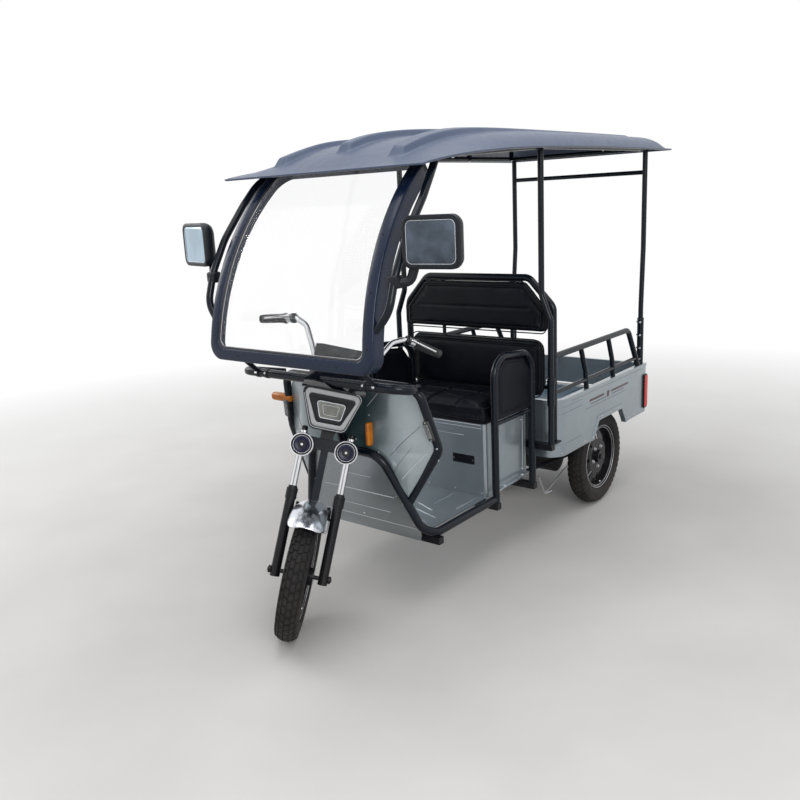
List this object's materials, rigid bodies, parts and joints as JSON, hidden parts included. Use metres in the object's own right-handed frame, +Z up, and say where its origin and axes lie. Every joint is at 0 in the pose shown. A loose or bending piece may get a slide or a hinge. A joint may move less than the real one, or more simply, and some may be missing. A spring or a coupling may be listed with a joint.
{
  "type": "auto rickshaw",
  "caption": "Open three-wheeled rickshaw with a canopy, curved windscreen, tube leg guards, a quilted bench and a small cargo box with a drop tailgate.",
  "frame": {"origin": "on the ground under the middle of the bounding box", "axes": "+Z up, +Y to the rear along the vehicle, +X to its left side"},
  "size_m": [1.374, 2.5997, 1.9044],
  "materials": {
    "tyre": "matt tread rubber",
    "rim": "gloss black",
    "black_steel": "satin black",
    "bright_chrome": "polished",
    "grip_rubber": "matt",
    "dark_plastic": "satin",
    "grey_ring": "satin",
    "lens": "clear",
    "black_tube": "gloss black",
    "body_blue": "metallic silver blue",
    "apron_silver": "metallic grey",
    "seat_leather": "grained black",
    "cargo_blue": "satin dark blue",
    "roof_blue": "dark blue grey",
    "clear_glass": "clear",
    "mirror_face": "mirror",
    "red_lens": "gloss red",
    "amber_lens": "gloss amber",
    "spring_steel": "satin"
  },
  "bodies": {
    "chassis": {"armrest_frames": "black_tube", "armrest_panels": "seat_leather", "backrest_frame": "black_tube", "backrest_pads": "seat_leather", "battery_pack": "dark_plastic", "canopy_frame": "black_tube", "cargo_floor": "cargo_blue", "cargo_rails": "black_tube", "cargo_side_walls": "body_blue", "cargo_wall_front": "body_blue", "chassis_frame": "black_steel", "footboard": "body_blue", "front_apron": "apron_silver", "guard_tubes": "black_tube", "leaf_springs": "spring_steel", "leg_shields": "body_blue", "mirror_glasses": "mirror_face", "mirror_housings": "dark_plastic", "rear_axle": "black_steel", "rear_lamps": "red_lens", "roof_canopy": "roof_blue", "seat_box": "body_blue", "turn_signals": "amber_lens", "windscreen_frame": "black_tube", "windscreen_glass": "clear_glass"},
    "steering": {"fork_yoke": "black_steel", "fork_stanchions": "bright_chrome", "fork_sliders": "black_steel", "handlebar": "bright_chrome", "handlebar_grips": "grip_rubber", "instrument_housing": "dark_plastic", "headlamp_housing": "dark_plastic", "headlamp_ring": "grey_ring", "headlamp_lens": "lens", "fork_lamps": "dark_plastic", "front_mudguard": "bright_chrome", "brake_levers": "bright_chrome"},
    "front_wheel": {"front_tyre": "tyre", "front_rim": "rim"},
    "rear_left_wheel": {"rear_tyre_left": "tyre", "rear_rim_left": "rim"},
    "rear_right_wheel": {"rear_tyre_right": "tyre", "rear_rim_right": "rim"},
    "tailgate": {"tailgate": "body_blue"},
    "seat_lid": {"seat_board": "black_steel", "seat_cushion": "seat_leather"}
  },
  "joints": [
    {"name": "steering_turn", "type": "hinge", "parent": "chassis", "child": "steering", "pos_m": [0, -0.7452, 1.05], "axis": [0, 0.3827, 0.9239], "range_deg": [-76, 0]},
    {"name": "front_wheel_spin", "type": "hinge", "parent": "steering", "child": "front_wheel", "pos_m": [0.00616, -1.089, 0.24058], "axis": [0.788, 0.5688, -0.2356], "continuous": true},
    {"name": "rear_left_wheel_spin", "type": "hinge", "parent": "chassis", "child": "rear_left_wheel", "pos_m": [0.318, 0.773, 0.246], "axis": [1, 0, 0], "continuous": true},
    {"name": "rear_right_wheel_spin", "type": "hinge", "parent": "chassis", "child": "rear_right_wheel", "pos_m": [-0.318, 0.773, 0.246], "axis": [1, 0, 0], "continuous": true},
    {"name": "tailgate_drop", "type": "hinge", "parent": "chassis", "child": "tailgate", "pos_m": [0, 1.21, 0.52], "axis": [-1, 0, 0], "range_deg": [0, 110]},
    {"name": "seat_lift", "type": "hinge", "parent": "chassis", "child": "seat_lid", "pos_m": [0, -0.251, 0.65825], "axis": [1, 0, 0], "range_deg": [0, 75]}
  ]
}
